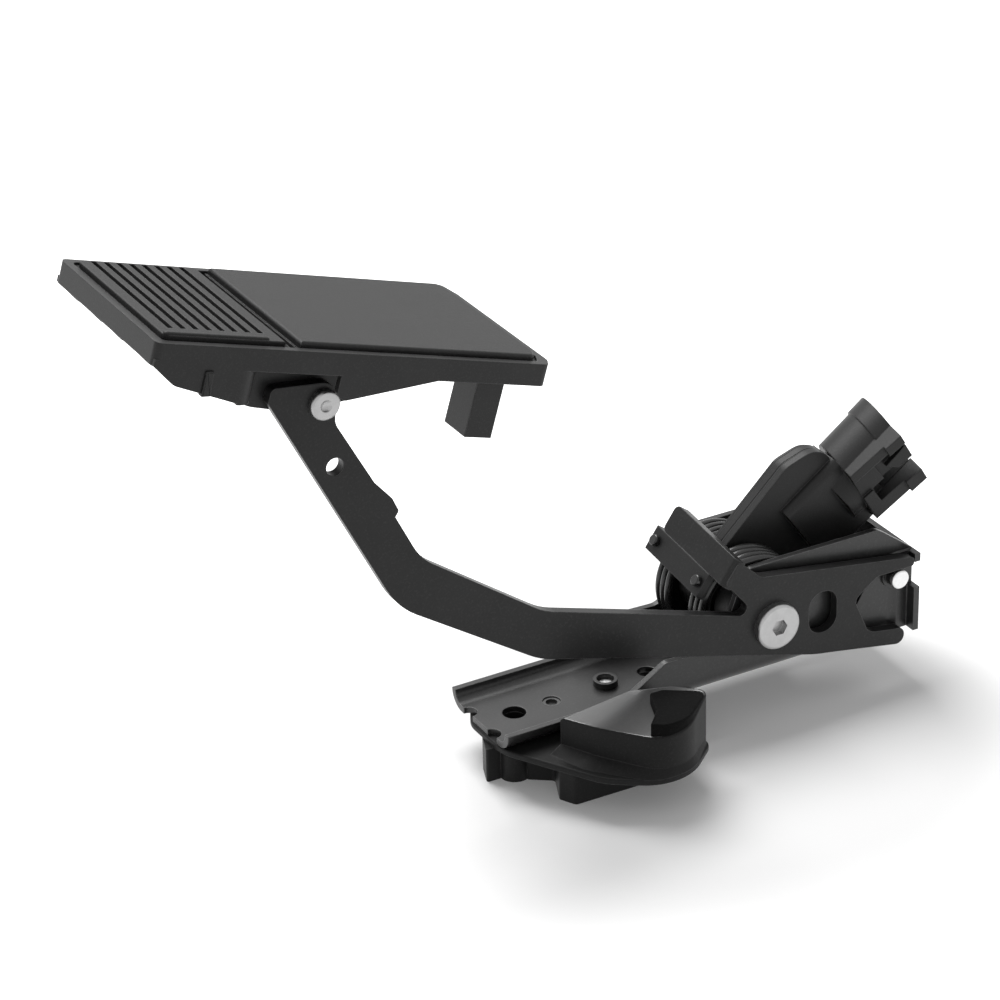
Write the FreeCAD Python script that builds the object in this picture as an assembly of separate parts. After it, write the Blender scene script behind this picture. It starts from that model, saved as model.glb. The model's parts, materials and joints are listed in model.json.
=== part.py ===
import FreeCAD, Part
import os
import math

os.makedirs("parts", exist_ok=True)
V = FreeCAD.Vector

# Hanging accelerator pedal for a truck cab, lying on its mounting foot.
# Millimetres. X runs from the treadle to the sensor plug, Y across the pedal away from its arm, Z up.
# The origin is on the mounting face, midway between the two mounting bolts.

# Running clearances
shaft_clearance = 0.04
part_gap = 0.3

# Foot, moulded
foot_leg = 17.0
foot_flange = 3.2
foot_left = -53.3
foot_right = 46.0
foot_far = 25.0
foot_bead = 0.9
tower_back = -35.5
tower_height = 27.0
dish_height = 20.8
dish_bend_x = 6.0
dish_slope = 6.0
apron_height = 3.8
leg_wall = 3.5

# Bracket, pressed from sheet
sheet = 3.0
channel_width = 52.0
bend_radius = 8.5
bracket_left = -52.5
floor_right = 112.0
ear_low_height = 21.0
ear_height = 57.8
ear_front = 8.0
ear_step = 29.5
ear_rise = 58.0
ear_rise_top = 71.0
ear_top_right = 144.0
rear_wall_x = 160.5
rear_wall_top = 43.3
rear_wall_bottom = 3.0
rear_bend = 10.0
bolt_pitch = 69.8
front_bolt_hole = 11.0
rear_bolt_hole = 9.0
rivet_x = -15.5
rivet_hole = 8.4
eyelet_x = 12.9
eyelet_hole = 9.0
end_notch_radius = 4.2
end_notch_y = 11.0

# Pivot
pivot_x = 83.5
pivot_height = 29.3
bolt_diameter = 12.0
bolt_head = 22.4
bolt_head_height = 4.2
hex_socket = 7.0
nut_across = 19.0
nut_height = 8.0
bush_wall = 1.5
bush_flange = 22.0
bush_flange_thickness = 1.2
sleeve_diameter = 17.0

# Arm, blanked from thick plate
plate = 5.0
tab_reach = 50.0
tab_rise = 6.8
tab_thickness = 5.0
tab_low = V(-28.4, 0, 27.4)
tab_high = V(-20.4, 0, 38.6)
tab_drift = -0.7
bar_near = -21.5
bar_far = 21.5
bar_screw_y = (-17.5, 17.5)
bar_height = 12.0
bar_thickness = 4.4
arm_hole = 8.0

# Stop pin
stop_x = 69.1
stop_z = 2.9
stop_diameter = 9.3
stop_collar = 12.6
stop_collar_length = 1.2

# Springs
coil_x = -5.0
coil_z = 4.0
coil_radius = 25.5
wire = 3.6
coil_turns = 3.25
coil_pitch = 3.9
drum_radius = 17.0

# Sensor
sensor_tilt = 36.0
sensor_thickness = 11.0
lid_thickness = 2.0
neck_thickness = 19.0
neck_half = 21.0
neck_start = 40.0
shell_start = 74.0
shell_end = 103.6
shell_radius = 20.1
shell_bore = 16.0
shell_bore_y = 1.0
mouth_lean = 4.8
mouth_turn = 7.4
collar_length = 9.3
collar_step = 0.8
latch_reach_root = 18.3
latch_reach = 20.6
latch_low = -14.6
latch_high = 15.8
latch_step = 2.1
slot_low = -8.0
panel_high = 10.6
terminal_count = 6
terminal_pitch = 4.6
terminal_depth = 9.0

# Treadle
pad_tilt = 17.0
pad_width = 96.0
pad_left = -89.5
pad_right = 95.0
pad_top = 28.0
rim_height = 9.7
rim_wall = 3.5
pad_corner = 12.0
cover_recess = 1.2
skirt_wall = 3.0
hinge_spread = 27.0
opening_left = -40.0
opening_right = -4.6
groove_count = 8
groove_pitch = 5.75
groove_width = 2.6
trough_x = -27.0
trough_width = 4.6
rivet_x_from_pivot = -221.0
rivet_z_from_pivot = 168.7
pad_pin = 8.0
pad_pin_head = 13.5
pad_pin_head_height = 3.0

# Places worked out from the sizes above
floor_bottom = foot_leg + foot_flange
floor_top = floor_bottom + sheet
half_channel = channel_width / 2.0
pivot_z = floor_bottom + pivot_height
arm_inner = -half_channel - bush_flange_thickness - part_gap
arm_outer = arm_inner - plate
ear_near_inner = -half_channel + sheet
ear_far_inner = half_channel - sheet
nut_face = half_channel + bush_flange_thickness + part_gap
plug_floor = shell_start + 8.0
pad_pivot = V(pivot_x + rivet_x_from_pivot, 0, pivot_z + rivet_z_from_pivot)
pad_near = -pad_width / 2.0 - 1.0
pad_far = pad_near + pad_width
hinge_near = arm_inner + part_gap
hinge_far = hinge_near + hinge_spread


def rounded(points):
    """Closed outline through corner points (x, y, radius), each corner rounded by a tangent arc."""
    edges = []
    starts = []
    ends = []
    mids = []
    count = len(points)
    for i in range(count):
        x, y, r = points[i]
        here = V(x, y, 0)
        back = V(points[i - 1][0], points[i - 1][1], 0) - here
        ahead = V(points[(i + 1) % count][0], points[(i + 1) % count][1], 0) - here
        back.normalize()
        ahead.normalize()
        half = back.getAngle(ahead) / 2.0
        if r <= 0:
            starts.append(here)
            ends.append(here)
            mids.append(None)
            continue
        reach = r / math.tan(half)
        middle = back + ahead
        middle.normalize()
        centre = here + middle * (r / math.sin(half))
        starts.append(here + back * reach)
        ends.append(here + ahead * reach)
        mids.append(centre - middle * r)
    for i in range(count):
        if mids[i] is not None:
            edges.append(Part.Arc(starts[i], mids[i], ends[i]).toShape())
        following = starts[(i + 1) % count]
        if (following - ends[i]).Length > 1e-6:
            edges.append(Part.LineSegment(ends[i], following).toShape())
    return Part.Wire(edges)


def flat_solid(points, bottom, top):
    """Outline in plan, from height bottom to height top."""
    solid = Part.Face(rounded(points)).extrude(V(0, 0, top - bottom))
    solid.translate(V(0, 0, bottom))
    return solid


def side_solid(points, near, far):
    """Outline in side view, given as X and Z, from Y near to Y far."""
    solid = Part.Face(rounded(points)).extrude(V(0, 0, near - far))
    solid.rotate(V(0, 0, 0), V(1, 0, 0), 90)
    solid.translate(V(0, near, 0))
    return solid


def rod(diameter, near, far, x=0.0, z=0.0):
    """Round bar along Y."""
    return Part.makeCylinder(diameter / 2.0, far - near, V(x, near, z), V(0, 1, 0))


def post(diameter, bottom, top, x=0.0, y=0.0):
    """Round bar along Z."""
    return Part.makeCylinder(diameter / 2.0, top - bottom, V(x, y, bottom), V(0, 0, 1))


def block(x0, x1, y0, y1, z0, z1):
    return Part.makeBox(x1 - x0, y1 - y0, z1 - z0, V(x0, y0, z0))


def at_pivot(shape):
    """Moves a shape modelled about the pivot axis to its place."""
    shape.translate(V(pivot_x, 0, pivot_z))
    return shape


def on_sensor(shape):
    """Turns a shape modelled along X to the sensor's slope, then moves it to the pivot."""
    shape.rotate(V(0, 0, 0), V(0, 1, 0), -sensor_tilt)
    return at_pivot(shape)


def on_treadle(shape):
    """Tilts a shape modelled about the treadle's pin, then moves it to the end of the arm."""
    shape.rotate(V(0, 0, 0), V(0, 1, 0), pad_tilt)
    shape.translate(pad_pivot)
    return shape


def fillet_near(solid, radius, points, tolerance):
    """Rounds the edges that pass within the tolerance of any of the points."""
    chosen = []
    for edge in solid.Edges:
        for point in points:
            if edge.distToShape(Part.Vertex(point))[0] < tolerance:
                chosen.append(edge)
                break
    return solid.makeFillet(radius, chosen)


def upper_edges(solid, height):
    """Edges that lie at or above a height."""
    return [edge for edge in solid.Edges if edge.BoundBox.ZMin > height - 0.1]


def mounting_foot():
    flange_top = floor_bottom
    flange = [
        (-44.0, foot_far, 8.0), (foot_left, 8.0, 14.0), (foot_left, -20.1, 26.0), (-27.1, -65.2, 30.0),
        (2.8, -86.2, 26.0), (28.8, -64.4, 7.0), (30.0, -38.0, 8.0), (foot_right, -26.0, 6.0),
        (foot_right, foot_far, 8.0),
    ]
    foot = flat_solid(flange, foot_leg, flange_top)
    foot = foot.makeFillet(foot_bead, [edge for edge in foot.Edges if edge.BoundBox.ZLength < foot_bead])
    foot = foot.fuse(foot_tower(flange_top))
    legs = flat_solid([
        (-40.0, 20.0, 3.0), (foot_left + 0.6, -2.0, 2.0), (foot_left - 3.5, -12.9, 1.0), (-43.0, -13.2, 0.0),
        (-39.5, -20.5, 0.0),
        (-30.0, -27.5, 2.0), (-36.0, -42.0, 2.0), (-32.0, -49.8, 2.5), (3.0, -50.5, 6.0), (26.0, -34.0, 6.0),
        (foot_right - 4.0, 20.0, 3.0),
    ], 0.0, foot_leg)
    legs = legs.fuse(post(14.0, 0.0, foot_leg, -42.5, -13.2))
    pocket = flat_solid([
        (-37.0, 16.5, 2.0), (foot_left + 4.0, -3.0, 1.0), (foot_left + 5.0, -9.0, 1.0), (-40.0, -9.5, 0.0),
        (-26.0, -24.0, 1.0), (-31.5, -41.0, 1.0), (-29.0, -46.0, 1.0), (1.0, -46.5, 4.0), (21.0, -33.0, 3.0),
        (foot_right - 7.5, 16.5, 2.0),
    ], 0.0, foot_leg)
    sleeves = None
    for x in (-bolt_pitch / 2.0, bolt_pitch / 2.0):
        tube = post(front_bolt_hole + 2.0 * leg_wall, 0.0, foot_leg, x, 0.0)
        sleeves = tube if sleeves is None else sleeves.fuse(tube)
    for x in (rivet_x, eyelet_x):
        sleeves = sleeves.fuse(post(rivet_hole + 2.0 * leg_wall, 0.0, foot_leg, x, 0.0))
    web = block(foot_left + 15.0, foot_right - 6.0, -leg_wall / 2.0, leg_wall / 2.0, 0.0, foot_leg)
    legs = legs.cut(pocket.cut(sleeves.fuse(web)))
    foot = foot.fuse(legs)
    foot = foot.cut(post(front_bolt_hole, -1.0, floor_bottom + 1.0, -bolt_pitch / 2.0, 0.0))
    foot = foot.cut(post(rear_bolt_hole, -1.0, floor_bottom + 1.0, bolt_pitch / 2.0, 0.0))
    foot = foot.cut(post(rivet_hole, foot_leg / 2.0, floor_bottom + 1.0, rivet_x, 0.0))
    foot = foot.cut(post(eyelet_hole, foot_leg / 2.0, floor_bottom + 1.0, eyelet_x, 0.0))
    return foot.removeSplitter()


def foot_tower(bottom):
    """Half-round tower in front of the bracket; its dished top slopes up to the right, then steeper."""
    wall = [
        (-31.2, tower_back, 0.0), (-22.4, -52.9, 30.0), (-5.4, -78.0, 15.0), (10.0, -78.0, 19.0),
        (29.8, -61.5, 5.0), (20.5, -47.5, 12.0), (5.0, tower_back, 6.0),
    ]
    right = 28.0
    top = bottom + tower_height
    tower = flat_solid(wall, bottom - 1.0, top + 1.0)
    low_side = dish_height - (dish_bend_x + 60.0) * math.tan(math.radians(dish_slope))
    over = side_solid([
        (-60.0, bottom + low_side, 0.0), (dish_bend_x, bottom + dish_height, 60.0), (right + 4.0, top, 0.0),
        (right + 4.0, 2.0 * top, 0.0), (-60.0, 2.0 * top, 0.0),
    ], -100.0, 0.0)
    tower = tower.cut(over)
    rim = [edge for edge in upper_edges(tower, bottom + 5.0) if edge.BoundBox.XLength > 0.1]
    tower = tower.makeFillet(1.2, [edge for edge in rim if edge.BoundBox.YMin < tower_back - 0.1])
    low = rounded([
        (-37.0, tower_back, 0.0), (-31.4, -53.9, 30.0), (-8.4, -80.2, 18.0), (12.0, -78.8, 19.0),
        (right, -63.6, 6.0), (right, tower_back, 0.0),
    ])
    low.translate(V(0, 0, bottom - 0.3))
    high = rounded(wall[:4] + [(right, -62.9, 6.0), (right, tower_back, 0.0)])
    high.translate(V(0, 0, bottom + apron_height))
    return tower.fuse(Part.makeLoft([low, high], True, True))


def mounting_bracket():
    top = floor_bottom + ear_height
    half = half_channel
    inner = half - sheet
    inner_bend = bend_radius - sheet
    outer_u = [
        (-half, floor_bottom, bend_radius), (half, floor_bottom, bend_radius), (half, top, 0.0),
        (-half, top, 0.0),
    ]
    inner_u = [
        (-inner, floor_top, inner_bend), (inner, floor_top, inner_bend), (inner, top + 1.0, 0.0),
        (-inner, top + 1.0, 0.0),
    ]
    length = rear_wall_x + sheet - bracket_left
    section = Part.Face(rounded(outer_u)).cut(Part.Face(rounded(inner_u)))
    channel = section.extrude(V(0, 0, length))
    channel.rotate(V(0, 0, 0), V(1, 1, 1), 120)
    channel.translate(V(bracket_left, 0, 0))
    lip_top = floor_bottom + bend_radius + 0.2
    side = side_solid([
        (bracket_left, floor_bottom - 1.0, 0.0), (bracket_left, lip_top, 0.0), (ear_front, lip_top, 3.0),
        (ear_step, floor_bottom + ear_low_height + 1.0, 4.0), (ear_rise, floor_bottom + ear_low_height, 8.0),
        (ear_rise_top, top, 6.0), (ear_top_right, top, 7.0),
        (rear_wall_x + sheet, floor_bottom + rear_wall_top, 0.0),
        (rear_wall_x + sheet, floor_bottom + rear_wall_bottom, 0.0),
        (floor_right + 6.0, floor_bottom + rear_wall_bottom, 3.0), (floor_right, floor_bottom - 1.0, 0.0),
    ], -half - 1.0, half + 1.0)
    bracket = channel.common(side)
    bracket = bracket.cut(block(floor_right, rear_wall_x + sheet + 1.0, -inner, inner, 0.0, floor_top + 1.0))
    wall_top = floor_bottom + rear_wall_top
    wall_bottom = floor_bottom + rear_wall_bottom
    wall = block(rear_wall_x, rear_wall_x + sheet, arm_outer, half, wall_bottom, wall_top)
    web = block(rear_wall_x - rear_bend, rear_wall_x, -half - rear_bend, -half, wall_bottom, wall_top)
    web = web.cut(Part.makeCylinder(
        rear_bend, ear_height, V(rear_wall_x - rear_bend, -half - rear_bend, floor_bottom), V(0, 0, 1)))
    web_near = arm_inner + 2.0 * part_gap
    web = web.common(block(rear_wall_x - rear_bend, rear_wall_x, web_near, -half, 0.0, wall_top))
    bracket = bracket.fuse([wall, web])
    pin_x = pivot_x + stop_x
    pin_z = pivot_z + stop_z
    slot_bottom = pin_z - stop_collar / 2.0 - part_gap
    slot_top = pin_z + stop_diameter / 2.0 + 2.4
    slot_left = rear_wall_x - rear_bend
    slot_right = rear_wall_x + sheet + 1.0
    bracket = bracket.cut(block(slot_left, slot_right, arm_outer - 1.0, 0.01 - half, slot_bottom, slot_top))
    bracket = bracket.cut(rod(stop_diameter, -half - 8.0, 0.0, pin_x, pin_z))
    bracket = bracket.cut(rod(bolt_diameter + 2.0 * bush_wall, -half - 1.0, half + 1.0, pivot_x, pivot_z))
    bracket = bracket.cut(post(front_bolt_hole, 0.0, floor_top + 1.0, -bolt_pitch / 2.0, 0.0))
    bracket = bracket.cut(post(rear_bolt_hole, 0.0, floor_top + 1.0, bolt_pitch / 2.0, 0.0))
    bracket = bracket.cut(post(rivet_hole, 0.0, floor_top + 1.0, rivet_x, 0.0))
    bracket = bracket.cut(post(eyelet_hole, 0.0, floor_top + 1.0, eyelet_x, 0.0))
    for y in (-end_notch_y, end_notch_y):
        bracket = bracket.cut(post(2.0 * end_notch_radius, 0.0, floor_top + 1.0, bracket_left, y))
    window = side_solid([
        (43.5, -6.0, 2.4), (48.5, -9.0, 2.4), (56.5, 4.0, 2.4), (52.0, 7.0, 2.4),
    ], -1.0, sheet + 1.0)
    window.translate(V(pivot_x, -half, pivot_z))
    return bracket.cut(window).removeSplitter()


def pedal_arm():
    outline = [
        (-243.5, 181.0, 2.5), (-212.0, 176.9, 8.5), (-216.5, 159.0, 8.0), (-199.5, 126.8, 0.0),
        (-191.5, 117.2, 2.0), (-188.6, 110.5, 1.4), (-190.4, 108.0, 0.0), (-179.2, 84.9, 30.0),
        (-120.0, 41.8, 36.0), (-8.6, 6.4, 3.4), (-26.5, 28.0, 2.0), (-19.5, 37.5, 2.0), (-7.5, 26.3, 5.0),
        (76.6, 12.9, 2.2), (76.6, 8.4, 1.8), (56.0, 8.4, 6.0), (43.6, -0.5, 4.0), (52.0, -20.0, 7.0),
        (66.0, -22.3, 0.0), (72.2, -22.9, 3.9), (71.8, -31.6, 4.0), (36.0, -25.0, 60.0), (22.0, -22.6, 60.0),
        (-122.5, 18.6, 40.0), (-191.0, 64.6, 40.0), (-245.6, 174.8, 2.0),
    ]
    arm = side_solid(outline, arm_outer, arm_inner)
    arm = arm.cut(rod(bolt_diameter, arm_outer - 1.0, arm_inner + 1.0))
    oval = side_solid([(18.6, -12.0, 7.2), (33.8, -12.0, 7.2), (33.8, 9.2, 7.2), (18.6, 9.2, 7.2)],
                      arm_outer - 1.0, arm_inner + 1.0)
    arm = arm.cut(oval)
    arm = arm.cut(rod(arm_hole, arm_outer - 1.0, arm_inner + 1.0, -217.2, 138.8))
    arm = arm.cut(rod(pad_pin, arm_outer - 1.0, arm_inner + 1.0, rivet_x_from_pivot, rivet_z_from_pivot))
    tab = spring_tab()
    arm = arm.fuse(tab).removeSplitter()
    return at_pivot(arm)


def spring_tab():
    """Strip bent across from the arm over the springs, leaning a little upwards to its free end."""
    low = V(tab_low.x, arm_outer, tab_low.z)
    high = V(tab_high.x, arm_outer, tab_high.z)
    along = high - low
    along.normalize()
    inward = V(along.z, 0, -along.x)
    inward = inward * tab_thickness
    reach = V(tab_drift, tab_reach, tab_rise)
    corners = [low, high, high + inward, low + inward, low]
    strip = Part.Face(Part.makePolygon(corners)).extrude(reach)
    end_low = low + reach
    end_high = high + reach
    end_corners = [(end_high + end_high + inward) / 2.0, (end_low + end_low + inward) / 2.0]
    strip = fillet_near(strip, 3.0, end_corners, 0.01)
    return fillet_near(strip, 3.0, [(low + high) / 2.0], 0.01)


def pivot_bolt():
    head = rod(bolt_head, arm_outer - bolt_head_height, arm_outer)
    head = fillet_near(head, 1.6, [V(bolt_head / 2.0, arm_outer - bolt_head_height, 0)], 0.1)
    shank = rod(bolt_diameter, arm_outer, nut_face + nut_height + 3.0)
    bolt = head.fuse(shank)
    socket = Part.Face(hexagon(hex_socket)).extrude(V(0, 0, 3.4))
    socket.rotate(V(0, 0, 0), V(1, 0, 0), -90)
    socket.translate(V(0, arm_outer - bolt_head_height - 0.2, 0))
    return at_pivot(bolt.cut(socket).removeSplitter())


def hexagon(across):
    """Six-sided outline, given the distance across its flats."""
    corner = across / math.sqrt(3.0)
    points = []
    for i in range(6):
        angle = math.radians(60 * i)
        points.append(V(corner * math.cos(angle), corner * math.sin(angle), 0))
    return Part.Wire(Part.makePolygon(points + [points[0]]))


def pivot_nut():
    nut = Part.Face(hexagon(nut_across)).extrude(V(0, 0, nut_height))
    nut.rotate(V(0, 0, 0), V(1, 0, 0), -90)
    nut.translate(V(0, nut_face, 0))
    inscribed = nut_across / 2.0
    cone = Part.makeCone(inscribed + nut_height, inscribed, nut_height, V(0, nut_face, 0), V(0, 1, 0))
    nut = nut.common(cone)
    return at_pivot(nut.cut(rod(bolt_diameter, 0.0, half_channel * 2.0)))


def ear_bush(side):
    """Flanged plastic bush in one ear; side is -1 for the arm's ear and 1 for the far one."""
    outer = half_channel + bush_flange_thickness
    bush = rod(bolt_diameter + 2.0 * bush_wall, ear_far_inner, half_channel)
    bush = bush.fuse(rod(bush_flange, half_channel, outer))
    bush = bush.cut(rod(bolt_diameter + 2.0 * shaft_clearance, 0.0, outer + 1.0)).removeSplitter()
    if side < 0:
        bush.rotate(V(0, 0, 0), V(1, 0, 0), 180)
    return at_pivot(bush)


def pivot_sleeve():
    sleeve = rod(sleeve_diameter, ear_near_inner + part_gap, ear_far_inner - part_gap)
    return at_pivot(sleeve.cut(rod(bolt_diameter, -half_channel, half_channel)))


def spring_drum(near, far):
    drum = rod(2.0 * drum_radius, near, far)
    return at_pivot(drum.cut(rod(sleeve_diameter, near - 1.0, far + 1.0)))


def wound_wire(radius, pitch, turns, thickness, first_leg, last_leg):
    """Torsion spring wound along Y from its origin; its legs run straight on from both ends of the coil."""
    height = pitch * turns
    helix = Part.makeHelix(pitch, height, radius)
    rise = pitch / (2.0 * math.pi)
    turned = 2.0 * math.pi * turns
    first = V(radius, 0, 0)
    last = V(radius * math.cos(turned), radius * math.sin(turned), height)
    leaving = V(0, radius, rise)
    arriving = V(-radius * math.sin(turned), radius * math.cos(turned), rise)
    leaving.normalize()
    arriving.normalize()
    start = first - leaving * first_leg
    route = [Part.LineSegment(start, first).toShape()] + helix.Edges
    route.append(Part.LineSegment(last, last + arriving * last_leg).toShape())
    section = Part.Wire([Part.Circle(start, leaving, thickness / 2.0).toShape()])
    spring = Part.Wire(Part.__sortEdges__(route)).makePipeShell([section], True, True)
    spring.rotate(V(0, 0, 0), V(1, 0, 0), -90)
    return spring


def torsion_spring(near, shortened):
    """One of the two return springs, from the tab on the arm round the pivot to the bracket's floor."""
    low_leg = pivot_height - sheet + coil_z - wire / 2.0 - part_gap - shortened
    spring = wound_wire(coil_radius, coil_pitch, coil_turns, wire, 14.0, low_leg)
    spring.rotate(V(0, 0, 0), V(0, 1, 0), -90)
    spring.translate(V(coil_x, near, coil_z))
    return at_pivot(spring)


def tab_frame(shape):
    """Moves a shape modelled on the tab's lower edge, X up the tab and Z out of its face, to the arm."""
    lean = math.degrees(math.atan2(tab_high.z - tab_low.z, tab_high.x - tab_low.x))
    shape.rotate(V(0, 0, 0), V(0, 1, 0), -lean)
    shape.translate(tab_low)
    return at_pivot(shape)


def along_tab(y):
    """How far the tab's edge has moved from the arm's outer face when it reaches the given Y."""
    share = (y - arm_outer) / tab_reach
    return V(tab_drift * share, y - arm_outer, tab_rise * share)


def spring_bar():
    """Bar fixed along the lower edge of the tab, over the legs of both springs."""
    back = -bar_thickness
    corners = [V(0, 0, 0), V(-bar_height, 0, 0), V(-bar_height, 0, back), V(0, 0, back), V(0, 0, 0)]
    bar = Part.Face(Part.makePolygon(corners))
    bar = tab_frame(bar)
    bar.translate(V(0, arm_outer, 0) + along_tab(bar_near))
    bar = bar.extrude(along_tab(bar_far) - along_tab(bar_near))
    for y in bar_screw_y:
        bar = bar.cut(bar_screw(y, 0.0))
    return bar


def bar_screw(y, head_height):
    screw = post(3.0, -bar_thickness, part_gap, -bar_height / 2.0, 0.0)
    if head_height > 0.0:
        head = post(5.4, part_gap, head_height, -bar_height / 2.0, 0.0)
        head = fillet_near(head, 0.8, [V(2.7 - bar_height / 2.0, 0.0, head_height)], 0.1)
        screw = screw.fuse(head).removeSplitter()
    screw = tab_frame(screw)
    screw.translate(V(0, arm_outer, 0) + along_tab(y))
    return screw


def bar_screws():
    return Part.Compound([bar_screw(y, 2.4) for y in bar_screw_y])


def stop_pin():
    near_end = arm_outer - 0.4
    pin = rod(stop_diameter, near_end, ear_near_inner + 2.0, stop_x, stop_z)
    pin = pin.fuse(rod(stop_collar, -half_channel - stop_collar_length, -half_channel, stop_x, stop_z))
    pin = pin.removeSplitter()
    pin = fillet_near(pin, 0.8, [V(stop_x + stop_diameter / 2.0, near_end, stop_z)], 0.1)
    return at_pivot(pin)


def tongue_outline(inset):
    return [
        (inset - 18.0, inset - 20.0, 16.0), (inset - 16.0, 27.0 - inset, 16.0), (55.0, 36.5 - inset, 9.0),
        (73.0 - inset, 31.0 - inset, 12.0), (shell_start - inset, inset - 17.0, 4.0),
        (30.0, inset - 24.0, 20.0),
    ]


def sensor_lid():
    half = sensor_thickness / 2.0
    lid = side_solid(tongue_outline(0.6), half - lid_thickness, half)
    beside_neck = neck_half + part_gap
    lid = lid.cut(block(neck_start - part_gap, shell_end, -half, half + 1.0, -beside_neck, beside_neck))
    lid = lid.cut(rod(sleeve_diameter + 2.0 * part_gap, -half, half + 1.0))
    return on_sensor(lid)


def sensor_housing():
    half = sensor_thickness / 2.0
    tongue = side_solid(tongue_outline(0.0), -half, half - lid_thickness)
    neck = block(neck_start, shell_start, -neck_thickness / 2.0, neck_thickness / 2.0, -neck_half, neck_half)
    neck = fillet_near(neck, 4.0, [V(neck_start + 10.0, -neck_thickness / 2.0, neck_half),
                                   V(neck_start + 10.0, -neck_thickness / 2.0, -neck_half)], 0.01)
    root = Part.makeCone(neck_half - 6.0, shell_radius - 4.0, 14.0, V(shell_start - 10.0, 0, 0), V(1, 0, 0))
    body = tongue.fuse([neck, root, plug_shell()])
    body = body.cut(Part.makeCylinder(shell_bore, shell_end, V(plug_floor, shell_bore_y, 0), V(1, 0, 0)))
    body = body.cut(rod(2.0 * (sleeve_diameter / 2.0 + part_gap), -half - 1.0, half + 1.0))
    boss = rod(2.0 * drum_radius + 4.0, -half - 1.5, -half)
    boss = boss.cut(rod(sleeve_diameter + 2.0 * part_gap, -half - 3.0, half))
    body = body.fuse(boss)
    return on_sensor(body.removeSplitter())


def plug_shell():
    """Round socket of the plug with slanted ends, and the box of its latch, leaning out on the near side."""
    before = shell_start - 10.0
    beyond = shell_end + 10.0
    length = beyond - before
    slope = (latch_reach - latch_reach_root) / (shell_end - collar_length - shell_start)
    shell = Part.makeCylinder(shell_radius, length, V(before, 0, 0), V(1, 0, 0))
    collar = Part.makeCylinder(shell_radius + collar_step, length, V(before, 0, 0), V(1, 0, 0))

    def leaning(depth, low, high, start, end):
        """Block from the near face, or so deep under it, across to the plug's axis."""
        y0 = depth - latch_reach_root - slope * (start - shell_start)
        y1 = depth - latch_reach_root - slope * (end - shell_start)
        plan = [V(start, 0, low), V(start, y0, low), V(end, y1, low), V(end, 0, low), V(start, 0, low)]
        return Part.Face(Part.makePolygon(plan)).extrude(V(0, 0, high - low))

    everywhere = 2.0 * shell_radius
    shell = shell.cut(leaning(-everywhere, -everywhere, everywhere, before, beyond).cut(
        leaning(0.0, -everywhere, everywhere, before, beyond)))
    shell = shell.fuse(leaning(0.0, latch_low, latch_high, before, beyond))
    collar = collar.fuse(leaning(-latch_step, latch_low, latch_high, before, beyond))
    shell = shell.fuse(collar.common(slanted(shell_end - collar_length, shell_end)))
    depth = latch_reach + latch_step
    recess = block(before, beyond, -2.0 * depth, 0.0, 0.0, panel_high)
    shell = shell.cut(recess.cut(leaning(1.5, 0.0, panel_high, before, beyond)))
    step = shell_end - 19.0
    deeper = block(step, beyond, -2.0 * depth, 0.0, 0.0, panel_high)
    shell = shell.cut(deeper.cut(leaning(3.2, 0.0, panel_high, step, beyond)))
    tooth = Part.Face(Part.makePolygon([
        V(step + 4.0, 0, 5.5), V(beyond, 0, 9.5), V(beyond, 0, 0.0), V(step + 8.0, 0, 0.0),
        V(step + 4.0, 0, 5.5)])).extrude(V(0, -depth, 0))
    shell = shell.fuse(tooth.common(leaning(0.2, 0.0, panel_high, before, beyond)))
    shell = shell.cut(block(shell_start + 3.0, beyond, -2.0 * depth, 3.0 - shell_bore, slot_low, 0.0))
    return shell.common(slanted(shell_start, shell_end)).removeSplitter()


def slanted(start, end):
    """Wide slab across the plug's axis, leaning and turned as the plug's mouth is."""
    reach = 3.0 * shell_radius
    slab = block(start - shell_end, end - shell_end, -reach, reach, -reach, reach)
    slab.rotate(V(0, 0, 0), V(0, 0, 1), -mouth_turn)
    slab.rotate(V(0, 0, 0), V(0, 1, 0), mouth_lean)
    slab.translate(V(shell_end, 0, 0))
    return slab


def connector_terminals():
    pins = []
    for row in (-1, 1):
        for i in range(terminal_count // 2):
            y = shell_bore_y + (i - (terminal_count // 2 - 1) / 2.0) * terminal_pitch
            n = row * terminal_pitch
            pin = block(plug_floor, shell_end - terminal_depth, y - 0.9, y + 0.9, n - 0.4, n + 0.4)
            pins.append(on_sensor(pin))
    return Part.Compound(pins)


def hollow_rivet():
    bottom = foot_leg / 2.0 + 1.0
    body = post(rivet_hole, bottom, floor_top - 0.6, rivet_x, 0.0)
    return body.cut(post(rivet_hole - 3.0, floor_top - 2.4, floor_top, rivet_x, 0.0))


def raised_eyelet():
    bottom = foot_leg / 2.0 + 1.0
    body = post(eyelet_hole, bottom, floor_top, eyelet_x, 0.0)
    collar = post(eyelet_hole + 2.4, floor_top, floor_top + 3.2, eyelet_x, 0.0)
    body = body.fuse(collar).removeSplitter()
    return body.cut(post(eyelet_hole - 1.0, floor_top + 0.8, floor_top + 4.0, eyelet_x, 0.0))


def tread_outline(inset):
    near = pad_near + inset
    far = pad_far - inset
    left = pad_left + inset
    right = pad_right - inset
    return [(left, near, 3.0), (left, far, 3.0), (right - 2.0, far, 3.0), (right, far - pad_corner, 6.0),
            (right, near + 6.0, 6.0), (right - 3.0, near, 3.0)]


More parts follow.
